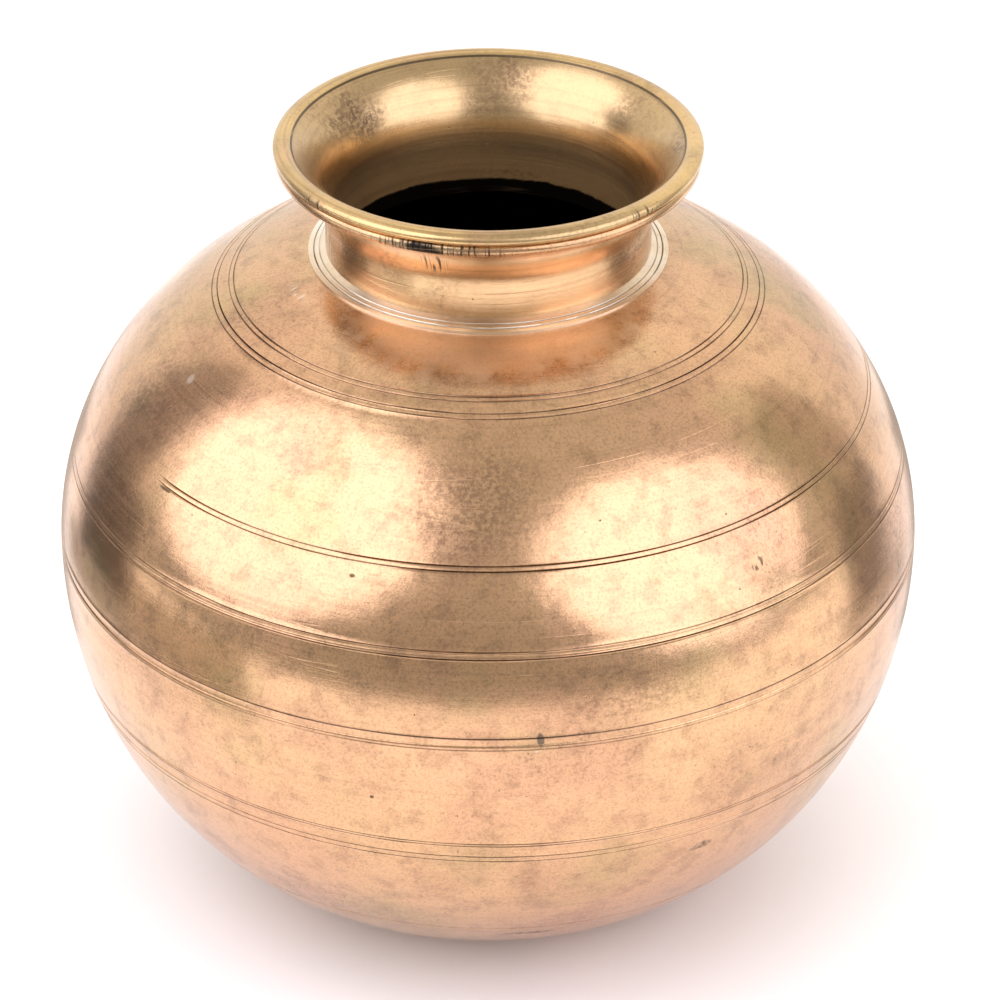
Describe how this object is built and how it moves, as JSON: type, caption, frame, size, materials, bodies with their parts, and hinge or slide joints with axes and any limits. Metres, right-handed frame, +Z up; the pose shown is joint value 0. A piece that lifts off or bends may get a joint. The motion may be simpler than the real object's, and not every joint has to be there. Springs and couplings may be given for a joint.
{
  "type": "lota water pot",
  "caption": "Round-bellied turned brass water pot with a short flared neck, rounded lip and scored lines, standing on a flat base.",
  "frame": {"origin": "centre of the flat base, on the surface the pot stands on", "axes": "+Z up along the turning axis, through the mouth; the pot is round, so X and Y are free, and -Y is the side seen in front"},
  "size_m": [0.2004, 0.2004, 0.1888],
  "materials": {
    "cast_brass": "lathe-turned and hand-polished, aged, with a fine brown patina",
    "lip_brass": "turned and worn smooth, scratched, brown in its grooves",
    "brazing_brass": "filed flush, slightly darker than the shells",
    "tin_solder": "turned tin-lead solder, greyish, with fine steps"
  },
  "bodies": {
    "root": {"lower_shell": "cast_brass", "waist_braze": "brazing_brass", "upper_shell": "cast_brass", "neck_solder": "tin_solder", "flared_neck": "cast_brass", "lip_ring": "lip_brass"}
  },
  "joints": []
}
